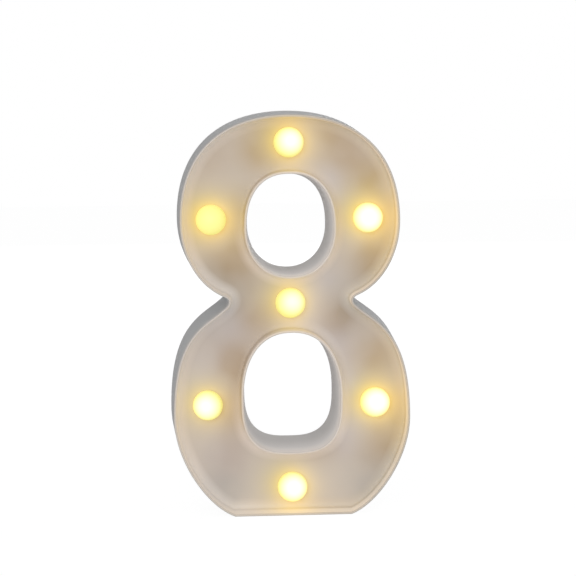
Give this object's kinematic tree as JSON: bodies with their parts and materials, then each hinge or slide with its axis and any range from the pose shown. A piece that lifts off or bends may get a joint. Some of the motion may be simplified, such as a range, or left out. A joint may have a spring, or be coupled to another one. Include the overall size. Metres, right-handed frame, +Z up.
{
  "type": "light up marquee number",
  "caption": "Free-standing light up figure eight: open white channel shell with globe bulbs on its face, back cover, battery bay and slide switch.",
  "frame": {"origin": "bottom centre of the whole object, in the plane that it stands on", "axes": "+Z up along the height, -Y out of the lit front, +X to the viewer's right"},
  "size_m": [0.133, 0.045, 0.2217],
  "materials": {
    "white_plastic": "moulded ABS, fine satin texture",
    "frosted_globe": "frosted, lit warm from inside",
    "led_resin": "clear epoxy",
    "steel": "tinned or zinc plated",
    "cell_jacket": "plain printed sleeve without lettering",
    "black_plastic": "satin",
    "resistor_body": "lacquered",
    "red_sleeve": "PVC sleeve",
    "black_sleeve": "PVC sleeve"
  },
  "bodies": {
    "housing": {"front_shell": "white_plastic", "back_cover": "white_plastic", "globe_bottom": "frosted_globe", "globe_lower_left": "frosted_globe", "globe_middle": "frosted_globe", "globe_upper_left": "frosted_globe", "globe_top": "frosted_globe", "globe_upper_right": "frosted_globe", "globe_lower_right": "frosted_globe", "led_bottom": "led_resin", "led_lower_left": "led_resin", "led_middle": "led_resin", "led_upper_left": "led_resin", "led_top": "led_resin", "led_upper_right": "led_resin", "led_lower_right": "led_resin", "cover_screw_1": "steel", "cover_screw_2": "steel", "cover_screw_3": "steel", "cover_screw_4": "steel", "cover_screw_5": "steel", "cover_screw_6": "steel", "cover_screw_7": "steel", "cover_screw_8": "steel", "cell_lower": "cell_jacket", "cell_upper": "cell_jacket", "positive_contact": "steel", "negative_spring_contact": "steel", "bridge_spring_contact": "steel", "switch_body": "black_plastic", "switch_screw_lower": "steel", "switch_screw_upper": "steel", "resistor": "resistor_body", "battery_feed_wire": "red_sleeve", "switch_link_wire": "red_sleeve", "positive_bus_wire": "red_sleeve", "negative_bus_wire": "black_sleeve"},
    "door": {"battery_door": "white_plastic"},
    "knob": {"switch_knob": "black_plastic"}
  },
  "joints": [
    {"name": "door_hinge", "type": "hinge", "parent": "housing", "child": "door", "pos_m": [-0.02995, 0.0225, 0.018], "axis": [0, 0, 1], "range_deg": [0, 75]},
    {"name": "switch_slide", "type": "slide", "parent": "housing", "child": "knob", "axis": [0, 0, -1], "range_m": [0, 0.004]}
  ]
}
